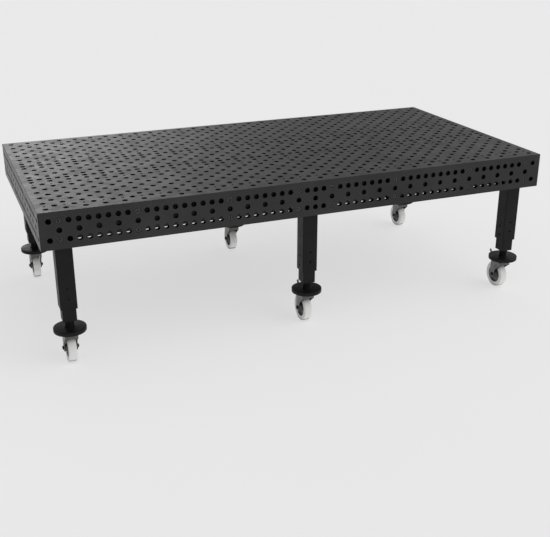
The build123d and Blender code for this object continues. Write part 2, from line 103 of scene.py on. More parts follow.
class Shader:
    """A material with one Principled shader, and short calls for the nodes before it."""

    EDGE_SAMPLES = 4
    RECESS_SAMPLES = 6
    FLAT_DOT, EDGE_DOT = 0.99, 0.86      # agreement of the two normals on a flat, on an edge

    def __init__(self, name, colour, metallic, roughness):
        self.material = bpy.data.materials.new(name)
        self.material.use_nodes = True
        self.nodes = self.material.node_tree.nodes
        self.links = self.material.node_tree.links
        self.surface = self.nodes["Principled BSDF"]
        self.surface.inputs["Base Color"].default_value = (*colour, 1)
        self.surface.inputs["Metallic"].default_value = metallic
        self.surface.inputs["Roughness"].default_value = roughness
        self.place = self.nodes.new("ShaderNodeTexCoord").outputs["Object"]

    def feed(self, value, socket):
        if hasattr(value, "links"):
            self.links.new(value, socket)
        else:
            socket.default_value = value

    def stretched(self, scale):
        """The object's coordinates, scaled along each axis."""
        node = self.nodes.new("ShaderNodeMapping")
        node.inputs["Scale"].default_value = scale
        self.links.new(self.place, node.inputs["Vector"])
        return node.outputs["Vector"]

    def noise(self, scale, detail=4.0, roughness=0.55, stretch=None):
        node = self.nodes.new("ShaderNodeTexNoise")
        node.inputs["Scale"].default_value = scale
        node.inputs["Detail"].default_value = detail
        node.inputs["Roughness"].default_value = roughness
        place = self.stretched(stretch) if stretch else self.place
        self.links.new(place, node.inputs["Vector"])
        return node.outputs["Fac"]

    def cells(self, scale):
        node = self.nodes.new("ShaderNodeTexVoronoi")
        node.inputs["Scale"].default_value = scale
        self.links.new(self.place, node.inputs["Vector"])
        return node.outputs["Color"]

    def spread(self, value, low, high, to_low=0.0, to_high=1.0):
        """Maps low..high of a value onto to_low..to_high, clamped."""
        node = self.nodes.new("ShaderNodeMapRange")
        self.feed(value, node.inputs["Value"])
        for socket, number in zip(
            ("From Min", "From Max", "To Min", "To Max"), (low, high, to_low, to_high)
        ):
            node.inputs[socket].default_value = number
        return node.outputs["Result"]

    def mix(self, factor, first, second):
        node = self.nodes.new("ShaderNodeMix")
        node.data_type = "RGBA"
        self.feed(factor, node.inputs["Factor"])
        for value, socket in ((first, node.inputs["A"]), (second, node.inputs["B"])):
            if isinstance(value, tuple):
                socket.default_value = (*value, 1)
            else:
                self.links.new(value, socket)
        return node.outputs["Result"]

    def math(self, operation, first, second=0.0):
        node = self.nodes.new("ShaderNodeMath")
        node.operation = operation
        self.feed(first, node.inputs[0])
        self.feed(second, node.inputs[1])
        return node.outputs["Value"]

    def edges(self, radius):
        """1 on convex and concave edges, 0 on flats, from a rounded and a plain normal."""
        bevel = self.nodes.new("ShaderNodeBevel")
        bevel.samples = self.EDGE_SAMPLES
        bevel.inputs["Radius"].default_value = radius
        plain = self.nodes.new("ShaderNodeNewGeometry")
        dot = self.nodes.new("ShaderNodeVectorMath")
        dot.operation = "DOT_PRODUCT"
        self.links.new(bevel.outputs["Normal"], dot.inputs[0])
        self.links.new(plain.outputs["Normal"], dot.inputs[1])
        return self.spread(dot.outputs["Value"], self.FLAT_DOT, self.EDGE_DOT)

    def recess(self, distance, low, high):
        """1 deep inside bores, seams and corners, 0 on open faces: the mask for painted shade."""
        node = self.nodes.new("ShaderNodeAmbientOcclusion")
        node.samples = self.RECESS_SAMPLES
        node.inputs["Distance"].default_value = distance
        return self.spread(node.outputs["AO"], high, low)

    def from_axle(self):
        """Distance from the wheel's axle, whose line is along X."""
        offset = self.nodes.new("ShaderNodeVectorMath")
        offset.operation = "MULTIPLY_ADD"
        self.links.new(self.place, offset.inputs[0])
        offset.inputs[1].default_value = (0, 1, 1)
        offset.inputs[2].default_value = (0, -TRAIL * MM, -AXLE_Z * MM)
        length = self.nodes.new("ShaderNodeVectorMath")
        length.operation = "LENGTH"
        self.links.new(offset.outputs["Vector"], length.inputs[0])
        return length.outputs["Value"]

    def bump(self, height, strength, distance):
        node = self.nodes.new("ShaderNodeBump")
        node.inputs["Strength"].default_value = strength
        node.inputs["Distance"].default_value = distance
        self.links.new(height, node.inputs["Height"])
        self.links.new(node.outputs["Normal"], self.surface.inputs["Normal"])

    def colour(self, value):
        self.links.new(value, self.surface.inputs["Base Color"])

    def roughness(self, value):
        self.links.new(value, self.surface.inputs["Roughness"])


def nitrided_steel():
    """Smooth dark plate: cloudy tone, grinding lines, worn edges, painted shade darkening the
    bores.
    """
    s = Shader("nitrided_steel", (0.03, 0.03, 0.03), 0.6, 0.4)
    clouds = s.spread(s.noise(2.2, 5.0), 0.3, 0.7)
    blotches = s.spread(s.noise(14.0, 6.0, 0.65), 0.35, 0.7)
    lines = s.noise(1.0, 3.0, 0.6, stretch=(6, 500, 500))
    tone = s.mix(clouds, NITRIDE_DARK, NITRIDE_PALE)
    tone = s.mix(s.math("MULTIPLY", blotches, 0.35), tone, NITRIDE_BLOTCH)
    worn = s.math("MULTIPLY", s.edges(0.0012), s.spread(s.noise(40.0), 0.35, 0.65, 0.05, 0.3))
    tone = s.mix(worn, tone, NITRIDE_WORN)
    # painted shade: darker deep in bores, seams and corners
    s.colour(s.mix(s.recess(0.05, 0.45, 0.85), tone, RECESS_SHADE))
    streaks = s.spread(lines, 0.3, 0.7, -0.04, 0.05)
    s.roughness(s.math("ADD", s.spread(blotches, 0, 1, 0.34, 0.46), streaks))
    s.bump(lines, 0.12, 0.0004)
    return s.material


def rib_steel():
    """Blue-black mill scale with rusty specks."""
    s = Shader("rib_steel", (0.04, 0.04, 0.042), 0.6, 0.55)
    scale = s.spread(s.noise(9.0, 7.0, 0.6), 0.3, 0.7)
    tone = s.mix(scale, SCALE_BLUE, SCALE_GREY)
    specks = s.spread(s.noise(120.0, 3.0), 0.62, 0.75, 0.0, 0.5)
    s.colour(s.mix(specks, tone, RUST))
    s.roughness(s.spread(scale, 0, 1, 0.45, 0.65))
    s.bump(s.noise(60.0, 5.0), 0.15, 0.001)
    return s.material


def black_paint():
    """Black powder coat with its fine orange peel, rubbed thin on the edges, painted shade in its
    recesses.
    """
    s = Shader("black_paint", (0.009, 0.009, 0.01), 0.0, 0.42)
    s.surface.inputs["Specular IOR Level"].default_value = 0.12
    dust = s.spread(s.noise(7.0, 6.0, 0.6), 0.4, 0.75, 0.0, 0.45)
    tone = s.mix(dust, PAINT_BLACK, PAINT_DUSTY)
    rubbed = s.math("MULTIPLY", s.edges(0.0014), s.spread(s.noise(35.0), 0.45, 0.7, 0.0, 0.5))
    tone = s.mix(rubbed, tone, PAINT_RUBBED)
    # painted shade: darker in seams and corners
    s.colour(s.mix(s.recess(0.010, 0.45, 0.85), tone, RECESS_SHADE))
    s.roughness(s.spread(s.noise(22.0, 5.0), 0.3, 0.7, 0.36, 0.5))
    s.bump(s.noise(700.0, 2.0), 0.12, 0.0003)
    return s.material


def black_oxide(name="black_oxide", rim=0.0007, highlight_tone=0.22):
    """Blackened fasteners with a painted highlight on the rim and painted shade in their recesses.
    """
    s = Shader(name, (0.03, 0.03, 0.032), 0.7, 0.42)
    tone = s.mix(s.spread(s.noise(60.0), 0.3, 0.7), OXIDE_BLACK, OXIDE_GREY)
    # painted highlight: a paler ring along the edges of the heads
    rim_highlight = s.math("MULTIPLY", s.edges(rim), 0.6)
    tone = s.mix(rim_highlight, tone, (highlight_tone, highlight_tone, highlight_tone))
    # painted shade: darker in sockets and seams
    s.colour(s.mix(s.recess(0.02, 0.5, 0.9), tone, RECESS_SHADE))
    s.roughness(s.spread(s.noise(90.0), 0.3, 0.7, 0.34, 0.5))
    s.bump(s.noise(300.0, 3.0), 0.1, 0.0003)
    return s.material


def zinc_plate():
    """Zinc-plated pressed steel: faint spangle, a painted highlight on the edges, painted shade in
    the corners.
    """
    s = Shader("zinc_plate", (0.5, 0.5, 0.5), 1.0, 0.34)
    spangle = s.spread(s.cells(140.0), 0.2, 0.8, 0.06, 0.3)
    tone = s.mix(s.spread(s.noise(18.0, 5.0), 0.3, 0.7), ZINC_DARK, ZINC_PALE)
    tone = s.mix(0.15, tone, spangle)
    # painted highlight: paler along every edge
    tone = s.mix(s.math("MULTIPLY", s.edges(0.001), 0.4), tone, ZINC_EDGE_HIGHLIGHT)
    # painted shade: darker in corners and seams
    s.colour(s.mix(s.recess(0.04, 0.3, 0.95), tone, ZINC_CORNER_SHADE))
    s.roughness(s.spread(s.noise(45.0, 4.0), 0.3, 0.7, 0.26, 0.44))
    s.bump(s.noise(160.0, 3.0), 0.08, 0.0004)
    return s.material


def white_polyamide():
    """Off-white moulded polyamide with a little floor dirt in it, painted shade on the hub and in
    the recesses.
    """
    s = Shader("white_polyamide", (0.80, 0.80, 0.78), 0.0, 0.42)
    s.surface.inputs["Subsurface Weight"].default_value = 0.08
    s.surface.inputs["Subsurface Radius"].default_value = (0.004, 0.004, 0.003)
    dirt = s.spread(s.noise(25.0, 7.0, 0.65), 0.5, 0.75, 0.0, 0.35)
    tone = s.mix(dirt, TYRE_WHITE, TYRE_DIRTY)
    # painted shade: grey on the recessed hub, inside the tyre's rim
    tone = s.mix(s.spread(s.from_axle(), HUB_FROM, HUB_TO), tone, HUB_PAINTED_SHADE)
    # painted shade: darker in the wheel's recesses and seams
    s.colour(s.mix(s.recess(0.03, 0.45, 0.95), tone, TYRE_CORNER_SHADE))
    s.roughness(s.spread(s.noise(60.0, 4.0), 0.3, 0.7, 0.36, 0.5))
    s.bump(s.noise(220.0, 3.0), 0.06, 0.0004)
    return s.material


MATERIALS = {
    "nitrided_steel": nitrided_steel(),
    "rib_steel": rib_steel(),
    "black_paint": black_paint(),
    "black_oxide": black_oxide(),
    # the side screws' heads, with a wider and paler painted highlight on the rim
    "turned_heads": black_oxide("turned_heads", rim=0.003, highlight_tone=0.55),
    "zinc_plate": zinc_plate(),
    "white_polyamide": white_polyamide(),
}


def dress(thing, slot):
    thing.data.materials.clear()
    thing.data.materials.append(MATERIALS[slot])


for part in frame["record"]["subparts"]:
    dress(frame["nodes"][part["node"]], part["material_slot"])


# Mesh building, in millimetres -----------------------------------------------------------

SMOOTH_ANGLE = 35.0
HEAD_SMOOTH_ANGLE = 25.0     # keeps the flats of small bolt heads flat
WELD_DISTANCE = 1e-6         # metres
POINT = 0.01                 # radius of an outline's end on the axis


def smooth_shaded(mesh, angle=SMOOTH_ANGLE):
    mesh.polygons.foreach_set("use_smooth", [True] * len(mesh.polygons))
    mesh.set_sharp_from_angle(angle=math.radians(angle))
    return mesh


def mesh_from(name, vertices, faces, smooth_angle=SMOOTH_ANGLE):
    """A mesh in metres from millimetre points, with smooth faces and sharp corners."""
    mesh = bpy.data.meshes.new(name)
    mesh.from_pydata([Vector(v) * MM for v in vertices], [], faces)
    shape = bmesh.new()
    shape.from_mesh(mesh)
    bmesh.ops.remove_doubles(shape, verts=shape.verts, dist=WELD_DISTANCE)
    bmesh.ops.recalc_face_normals(shape, faces=shape.faces)
    shape.to_mesh(mesh)
    shape.free()
    return smooth_shaded(mesh, smooth_angle)


def with_modifiers(mesh, *settings):
    """The mesh with modifiers applied, each given as (type, {setting: value})."""
    holder = bpy.data.objects.new("holder", mesh)
    scene.collection.objects.link(holder)
    for kind, values in settings:
        modifier = holder.modifiers.new(kind, kind)
        for key, value in values.items():
            setattr(modifier, key, value)
    depsgraph = bpy.context.evaluated_depsgraph_get()
    done = bpy.data.meshes.new_from_object(holder.evaluated_get(depsgraph))
    done.name = mesh.name
    bpy.data.objects.remove(holder)
    bpy.data.meshes.remove(mesh)
    return smooth_shaded(done)


def bevel(width, segments=2):
    return ("BEVEL", {"width": width * MM, "segments": segments, "limit_method": "ANGLE"})


def thicken(thickness):
    return ("SOLIDIFY", {"thickness": thickness * MM, "offset": 0.0, "use_even_offset": True})


def joined(name, *meshes):
    """Several meshes as one, each a separate shell of it."""
    shape = bmesh.new()
    for mesh in meshes:
        shape.from_mesh(mesh)
        bpy.data.meshes.remove(mesh)
    whole = bpy.data.meshes.new(name)
    shape.to_mesh(whole)
    shape.free()
    whole.set_sharp_from_angle(angle=math.radians(SMOOTH_ANGLE))
    return whole


def moved(mesh, x=0.0, y=0.0, z=0.0):
    mesh.transform(Matrix.Translation(Vector((x, y, z)) * MM))
    return mesh


def rounded(corners, steps):
    """An outline with its corners rounded. A corner is (u, v, radius)."""
    outline = []
    count = len(corners)
    for i, (u, v, radius) in enumerate(corners):
        here = Vector((u, v))
        if radius <= 0:
            outline.append(here)
            continue
        before = (Vector(corners[i - 1][:2]) - here).normalized()
        after = (Vector(corners[(i + 1) % count][:2]) - here).normalized()
        half = before.angle(after) / 2
        centre = here + (before + after).normalized() * (radius / math.sin(half))
        reach = radius / math.tan(half)
        start, end = here + before * reach - centre, here + after * reach - centre
        turn = start.angle_signed(end)
        for k in range(steps + 1):
            arm = start.copy()
            arm.rotate(Matrix.Rotation(-turn * k / steps, 2))
            outline.append(centre + arm)
    return outline


def mirrored(corners, sign=-1):
    """A (radius, position, corner radius) outline on the +X or, mirrored, the -X side."""
    return corners if sign > 0 else [(r, -x, e) for r, x, e in reversed(corners)]


def turned(name, corners, corner_steps, sides, axis="Z"):
    """A closed outline of (radius, position, corner radius) turned about an axis."""
    outline = rounded(corners, corner_steps)
    vertices = []
    for angle in round_angles(sides):
        c, s = math.cos(angle), math.sin(angle)
        for radius, along in outline:
            across = (radius * c, radius * s)
            vertices.append((*across, along) if axis == "Z" else (along, *across))
    count = len(outline)
    faces = []
    for i in range(sides):
        a, b = i * count, (i + 1) % sides * count
        for k in range(count):
            n = (k + 1) % count
            faces.append((a + k, b + k, b + n, a + n))
    return mesh_from(name, vertices, faces)


def round_angles(sides):
    return [2 * math.pi * k / sides for k in range(sides)]


def ring_at(z, sides, reach):
    """Points round the Z axis at a height, each as far out as its angle says."""
    return [
        (reach(angle) * math.cos(angle), reach(angle) * math.sin(angle), z)
        for angle in round_angles(sides)
    ]


def hex_reach(angle, across_flats):
    """How far a ray from the middle of a hexagon goes before it meets its side."""
    flat = (angle + math.pi / 6) % (math.pi / 3) - math.pi / 6
    return across_flats / 2 / math.cos(flat)


def lofted(name, rings, smooth_angle=SMOOTH_ANGLE):
    """A closed skin over rings of equally many points, capped at both ends."""
    sides = len(rings[0])
    faces = []
    for i in range(len(rings) - 1):
        a, b = i * sides, (i + 1) * sides
        for k in range(sides):
            n = (k + 1) % sides
            faces.append((a + k, a + n, b + n, b + k))
    faces.append(tuple(range(sides))[::-1])
    faces.append(tuple(range((len(rings) - 1) * sides, len(rings) * sides)))
    return mesh_from(name, [point for ring in rings for point in ring], faces, smooth_angle)


def sheet(name, rows):
    """An open skin over rows of equally many points."""
    count = len(rows[0])
    faces = []
    for i in range(len(rows) - 1):
        for k in range(count - 1):
            a = i * count + k
            faces.append((a, a + 1, a + count + 1, a + count))
    return mesh_from(name, [point for row in rows for point in row], faces)


def smooth_step(t):
    t = max(0.0, min(1.0, t))
    return t * t * (3 - 2 * t)


def quarter_arc(radius, steps=6):
    """Offsets along a quarter circle: how far across, and how far along."""
    angles = [math.pi / 2 * k / steps for k in range(steps + 1)]
    return [(radius * (1 - math.cos(a)), radius * math.sin(a)) for a in angles]


def both_sides(half_path):
    """A path on the -X side up to the middle, continued by its mirror image."""
    return half_path + [(-x, other) for x, other in reversed(half_path[:-1])]


# Screw and bolt heads ---------------------------------------------------------------------

HEX_SIDES = 36
HEX_CHAMFER = 0.9
HEX_ROUND = 0.97             # the chamfer's circle, in parts of the width across flats
HEX_DIMPLE = 0.6             # the flat top's inner ring, in parts of its outline

SIDE_HEAD_R = 15.0
SIDE_HEAD_THICKNESS = 9.5
SIDE_HEAD_RIM = 2.0
SOCKET_AF = 10.0
SOCKET_DEPTH = 6.0
SOCKET_LEAD = 0.8            # depth of the socket's chamfer
SOCKET_MOUTH = 1.12          # widening of the socket at its mouth
SOCKET_SIDES = 48


def hex_head(across_flats, height):
    """A bolt head standing on z = 0, its top face chamfered into a round."""
    round_r = across_flats / 2 * HEX_ROUND

    def full(angle):
        return hex_reach(angle, across_flats)

    def trimmed(angle):
        return min(full(angle), round_r)

    def inner(angle):
        return trimmed(angle) * HEX_DIMPLE

    steps = ((0, full), (height - HEX_CHAMFER, full), (height, trimmed), (height, inner))
    rings = [ring_at(z, HEX_SIDES, reach) for z, reach in steps]
    return lofted("hex_head", rings, HEAD_SMOOTH_ANGLE)


def side_head():
    """A round screw head lying under z = 0, with a chamfered rim and a hexagon socket."""
    rings = []
    for z, radius in (
        (-SIDE_HEAD_THICKNESS, SIDE_HEAD_R),
        (-SIDE_HEAD_RIM, SIDE_HEAD_R),
        (0.0, SIDE_HEAD_R - SIDE_HEAD_RIM),
    ):
        rings.append(ring_at(z, SOCKET_SIDES, lambda angle: radius))
    for z, width in (
        (0.0, SOCKET_AF * SOCKET_MOUTH),
        (-SOCKET_LEAD, SOCKET_AF),
        (-SOCKET_DEPTH, SOCKET_AF),
    ):
        rings.append(ring_at(z, SOCKET_SIDES, lambda angle: hex_reach(angle, width)))
    return lofted("side_head", rings, HEAD_SMOOTH_ANGLE)


def solid_boxes(node):
    """The box of each separate solid of a CAD node, in millimetres."""
    shape = bmesh.new()
    shape.from_mesh(frame["nodes"][node].data)
    bmesh.ops.remove_doubles(shape, verts=shape.verts, dist=WELD_DISTANCE * 10)
    seen, boxes = set(), []
    for start in shape.verts:
        if start in seen:
            continue
        seen.add(start)
        found, queue = [], [start]
        while queue:
            vertex = queue.pop()
            found.append(vertex.co / MM)
            for edge in vertex.link_edges:
                other = edge.other_vert(vertex)
                if other not in seen:
                    seen.add(other)
                    queue.append(other)
        low = Vector([min(point[i] for point in found) for i in range(3)])
        high = Vector([max(point[i] for point in found) for i in range(3)])
        boxes.append((low, high))
    shape.free()
    return boxes


def side_screws_mesh():
    """A head at the outer end of each screw of the sides; a screw is longest along its axis."""
    head = side_head()
    copies = []
    for low, high in solid_boxes("side_screws"):
        place = (low + high) / 2
        axis = 0 if high.x - low.x > high.y - low.y else 1
        outward = 1 if place[axis] > 0 else -1
        place[axis] = high[axis] if outward > 0 else low[axis]
        direction = Vector((0, 0, 0))
        direction[axis] = outward
        turn = direction.to_track_quat("Z", "Y").to_matrix().to_4x4()
        copy = head.copy()
        copy.transform(Matrix.Translation(place * MM) @ turn)
        copies.append(copy)
    bpy.data.meshes.remove(head)
    return joined("side_screws", *copies)


# Pieces of a caster and foot, round the leg's axis -----------------------------------------

# Wheel: outline of one half, as (radius, distance from the middle, corner radius)
WHEEL_HALF = (
    (10.1, 29.8, 0), (21, 29.8, 1.5), (24, 9, 4), (51, 9, 5), (54, 21.6, 1.5), (AXLE_Z, 23, 6),
)
SEAL = ((11, 28.5, 0), (19, 28.5, 0), (19, 30.0, 0.4), (11, 30.0, 0.4))

# Fork
SHEET = 5.0                  # thickness of its steel
HALF_FORK = 36.0             # half its outer width
CROWN_Z = 187.6              # its top
CROWN_REACH = 40.0           # how far it reaches in front of the swivel axis
CROWN_BEND = 9.0
CROWN_CORNER = 14.0
CORNER_Y = CROWN_CORNER - CROWN_REACH
TUCK = 0.96                  # keeps the crown's front edge just behind the apron's face
CHEEK_END_R = 22.0           # rounded lower end of a side
CHEEK_TAPER = 1.0
SWEEP_FROM, SWEEP_OVER = 0.25, 0.7   # where the front edge sweeps forward, in parts of the rise
APRON_LOW_Z = 160.0
APRON_ARCH = 6.0
APRON_LIP = 2.2              # how far the apron rises through the crown's sheet
DOME = ((9.2, 172.4, 0), (21, 172.4, 3), (22, 182.4, 1), (9.2, 182.4, 0))
PEDAL_PIN = ((POINT, -35.9, 0), (4, -35.9, 0.6), (4, 35.9, 0.6), (POINT, 35.9, 0))
PIN_Y, PIN_Z = 58, 170

# Top plate of the caster
PLATE_LOW_Z, PLATE_TOP_Z = 195, 200
PLATE_HALF_X, PLATE_HALF_Y, PLATE_CORNER = 47, 55, 8
PLATE_BOLT_X, PLATE_BOLT_Y = 35, 43
PLATE_BOLT_AF, PLATE_BOLT_HEIGHT = 13, 5.2
RACE = ((9, 188.1, 0), (33, 188.1, 1), (36, 190, 1.5), (36, 193, 1), (40, 195.2, 0), (9, 195.2, 0))
KINGPIN = (
    (POINT, 165, 0), (12.5, 165, 1.5), (14, 171.6, 0.8), (9, 171.6, 0), (9, 188.2, 0),
    (POINT, 188.2, 0),
)

# Axle
WASHER_OUT = 38.2
WASHER = ((6, 36.1, 0), (12, 36.1, 0.4), (12, WASHER_OUT, 0.5), (6, WASHER_OUT, 0))
AXLE_HEAD_AF, AXLE_HEAD_HEIGHT = 18.6, 5.6
BOLT_END = ((POINT, 43, 0), (5.6, 43, 0.8), (5.6, 45.8, 0.8), (POINT, 45.8, 0))
SLEEVE = ((6.1, -30.9, 0), (6.1, 30.9, 0), (10, 30.9, 0.4), (10, -30.9, 0.4))

# Screw foot
DISC = ((POINT, 200, 0), (88, 200, 2.2), (88, 222, 2.2), (POINT, 222, 0))
BEAD = ((24, 221.5, 0), (30.5, 221.5, 1), (24, 228, 1))
THREAD_R, THREAD_DEPTH, THREAD_PITCH = 25.0, 2.0, 6.0
THREAD_LOW_Z, THREAD_HIGH_Z = 222.0, 434.0
THREAD_SIDES, THREAD_LEVELS_PER_PITCH = 64, 8

# Brake pedal: a straight stretch, then an arc up to the tip
PEDAL_START, PEDAL_BEND, PEDAL_TIP = Vector((58, 172)), Vector((92, 184)), Vector((132, 221))
PEDAL_STRAIGHT_STEPS, PEDAL_ARC_STEPS, PEDAL_ACROSS = 8, 40, 6
PEDAL_HALF, PEDAL_NARROWING = 8.0, 2.0
PEDAL_THICKNESS = 3.6
RIDGE_HEIGHT, RIDGE_PITCH, RIDGES_FROM = 0.6, 6, 0.55
PIVOT = ((4.1, -22, 0), (4.1, 22, 0), (8, 22, 0.8), (8, -22, 0.8))
LOBE = ((POINT, -12, 0), (POINT, 12, 0), (3.9, 12, 0.6), (3.9, -12, 0.6))
LOBE_Y, LOBE_Z = 59.1, 163.7


def wheel_mesh():
    """Tyre with a flat tread, recessed hub and the seals of its bearing."""
    parts = [turned("tyre", WHEEL_HALF + tuple(mirrored(WHEEL_HALF)), 5, 128, "X")]
    parts += [turned("seal", mirrored(SEAL, sign), 2, 48, "X") for sign in (-1, 1)]
    return moved(joined("wheel", *parts), 0, TRAIL, AXLE_Z)


def cheek_span(z):
    """Front and back edge of a fork side at a height."""
    if z < AXLE_Z:
        half = math.sqrt(max(0.0, CHEEK_END_R**2 - (AXLE_Z - z) ** 2))
        return TRAIL - half, TRAIL + half
    rise = (z - AXLE_Z) / (CROWN_Z - AXLE_Z)
    sweep = smooth_step((rise - SWEEP_FROM) / SWEEP_OVER)
    front = TRAIL - CHEEK_END_R - (TRAIL - CHEEK_END_R + CROWN_REACH) * sweep
    back = TRAIL + CHEEK_END_R - CHEEK_TAPER * smooth_step(rise)
    return front, back


def crown_front(x):
    """How far forward the crown reaches, with rounded corners in plan."""
    inside = max(0.0, abs(x) + SHEET / 2 - (HALF_FORK - CROWN_CORNER))
    return CORNER_Y - TUCK * math.sqrt(max(0.0, CROWN_CORNER**2 - inside**2))


def crown_height(x):
    """Middle of the crown's sheet, which bends down into the sides."""
    inside = max(0.0, abs(x) - (HALF_FORK - SHEET / 2 - CROWN_BEND))
    drop = CROWN_BEND - math.sqrt(max(0.0, CROWN_BEND**2 - inside**2))
    return CROWN_Z - SHEET / 2 - drop


def fork_apron():
    """The crown's turned-down front, arched over the wheel and wrapped onto both sides."""
    corner = CROWN_CORNER - SHEET / 2
    half, front = HALF_FORK - SHEET / 2, CORNER_Y - corner
    flat_steps, levels = 5, 9
    plan = [(across - half, CORNER_Y - along) for across, along in quarter_arc(corner)]
    plan += [
        (-half + corner + (half - corner) * k / flat_steps, front)
        for k in range(1, flat_steps + 1)
    ]
    rows = []
    for x, y in both_sides(plan):
        low = APRON_LOW_Z + APRON_ARCH * math.cos(math.pi / 2 * x / HALF_FORK)
        high = crown_height(x) + APRON_LIP * min(1.0, (half - abs(x)) / CROWN_BEND)
        rows.append([(x, y, low + (high - low) * k / levels) for k in range(levels + 1)])
    return with_modifiers(sheet("fork_apron", rows), thicken(SHEET), bevel(1.2, 3))


def fork_mesh():
    """An inverted U of pressed sheet, its sides drawn in to the axle in an S curve."""
    half, top = HALF_FORK - SHEET / 2, CROWN_Z - SHEET / 2
    end_steps, straight_steps, flat_steps, across = 14, 22, 6, 12
    path = [
        (-half, AXLE_Z - CHEEK_END_R * math.cos(math.pi / 2 * k / end_steps))
        for k in range(end_steps)
    ]
    path += [
        (-half, AXLE_Z + (top - CROWN_BEND - AXLE_Z) * k / straight_steps)
        for k in range(straight_steps)
    ]
    path += [(aside - half, top - CROWN_BEND + up) for aside, up in quarter_arc(CROWN_BEND)]
    path += [
        (-half + CROWN_BEND + (half - CROWN_BEND) * k / flat_steps, top)
        for k in range(1, flat_steps + 1)
    ]
    rows = []
    for x, z in both_sides(path):
        front, back = cheek_span(max(z, AXLE_Z - CHEEK_END_R))
        front = max(front, crown_front(x))
        rows.append([(x, front + (back - front) * k / across, z) for k in range(across + 1)])
    sides = with_modifiers(sheet("fork_sheet", rows), thicken(SHEET), bevel(0.9))
    pin = moved(turned("pin", PEDAL_PIN, 2, 24, "X"), 0, PIN_Y, PIN_Z)
    return joined("fork", sides, fork_apron(), turned("dome", DOME, 3, 48), pin)


def caster_plate_mesh():
    """Top plate with the bearing race and the kingpin under it, and its four bolt heads."""
    corners = [(-1, -1), (1, -1), (1, 1), (-1, 1)]
    outline = rounded([(x * PLATE_HALF_X, y * PLATE_HALF_Y, PLATE_CORNER) for x, y in corners], 6)
    rings = [[(p.x, p.y, z) for p in outline] for z in (PLATE_LOW_Z, PLATE_TOP_Z)]
    plate = with_modifiers(lofted("plate", rings), bevel(0.8))
    parts = [plate, turned("race", RACE, 4, 64), turned("kingpin", KINGPIN, 3, 40)]
    for x in (-PLATE_BOLT_X, PLATE_BOLT_X):
        for y in (-PLATE_BOLT_Y, PLATE_BOLT_Y):
            head = hex_head(PLATE_BOLT_AF, PLATE_BOLT_HEIGHT)
            head.transform(Matrix.Rotation(math.pi, 4, "X"))
            parts.append(moved(head, x, y, PLATE_LOW_Z))
    return joined("caster_plate", *parts)


def axle_mesh():
    """Bolt head and nut with washers outside the fork, and the sleeve inside it."""
    parts = []
    for sign in (-1, 1):
        parts.append(turned("washer", mirrored(WASHER, sign), 2, 40, "X"))
        head = hex_head(AXLE_HEAD_AF, AXLE_HEAD_HEIGHT)
        head.transform(Matrix.Rotation(sign * math.pi / 2, 4, "Y"))
        parts.append(moved(head, WASHER_OUT * sign))
    parts.append(turned("bolt_end", BOLT_END, 2, 32, "X"))
    parts.append(turned("sleeve", SLEEVE, 2, 48, "X"))
    return moved(joined("axle", *parts), 0, TRAIL, AXLE_Z)


def thread_mesh():
    """A rod with a trapezoidal thread."""
    height = THREAD_HIGH_Z - THREAD_LOW_Z
    levels = round(height / THREAD_PITCH * THREAD_LEVELS_PER_PITCH)
    rings = []
    for i in range(levels + 1):
        up = height * i / levels

        def reach(angle):
            phase = (up / THREAD_PITCH - angle / (2 * math.pi)) % 1.0
            return THREAD_R - THREAD_DEPTH * smooth_step(abs(phase - 0.5) * 4 - 0.5)

        rings.append(ring_at(THREAD_LOW_Z + up, THREAD_SIDES, reach))
    return lofted("thread", rings)


def spindle_mesh():
    """Round foot plate, weld bead and the threaded spindle."""
    disc, bead = turned("disc", DISC, 4, 128), turned("bead", BEAD, 3, 64)
    return joined("foot_spindle", disc, bead, thread_mesh())


def pedal_path():
    """The lever's middle line from the pivot to the tip, as (y, z) points."""
    run, chord = PEDAL_BEND - PEDAL_START, PEDAL_TIP - PEDAL_BEND
    turn = -2 * run.angle_signed(chord)
    step_turn = turn / PEDAL_ARC_STEPS
    step = 2 * chord.length / 2 / math.sin(abs(turn) / 2) * math.sin(abs(step_turn) / 2)
    path = [PEDAL_START + run * k / PEDAL_STRAIGHT_STEPS for k in range(PEDAL_STRAIGHT_STEPS)]
    here, heading = PEDAL_BEND.copy(), math.atan2(run.y, run.x)
    for k in range(PEDAL_ARC_STEPS + 1):
        path.append(here.copy())
        middle = heading + step_turn / 2
        here = here + Vector((math.cos(middle), math.sin(middle))) * step
        heading += step_turn
    return path


def pedal_mesh():
    """A narrow bent lever with gripping ridges and a rounded tip, on its pivot sleeve."""
    path = pedal_path()
    travelled = [0.0]
    for before, after in zip(path, path[1:]):
        travelled.append(travelled[-1] + (after - before).length)
    total = travelled[-1]
    rows = []
    for point, done in zip(path, travelled):
        half = PEDAL_HALF - PEDAL_NARROWING * smooth_step((done - 0.2 * total) / (0.3 * total))
        left = total - done
        if left < half:
            half = math.sqrt(max(0.04, half**2 - (half - left) ** 2))
        grip = max(0.0, done - RIDGES_FROM * total)
        ridge = RIDGE_HEIGHT * max(0.0, math.sin(grip * 2 * math.pi / RIDGE_PITCH))
        rows.append([
            (half * (2 * k / PEDAL_ACROSS - 1), point.x, point.y + ridge)
            for k in range(PEDAL_ACROSS + 1)
        ])
    lever = with_modifiers(sheet("lever", rows), thicken(PEDAL_THICKNESS), bevel(0.8))
    pivot = moved(turned("pivot", PIVOT, 3, 40, "X"), 0, PIN_Y, PIN_Z)
    lobe = moved(turned("lobe", LOBE, 2, 24, "X"), 0, LOBE_Y, LOBE_Z)
    return joined("brake_pedal", lever, pivot, lobe)


# Pieces that stand for CAD nodes -----------------------------------------------------------

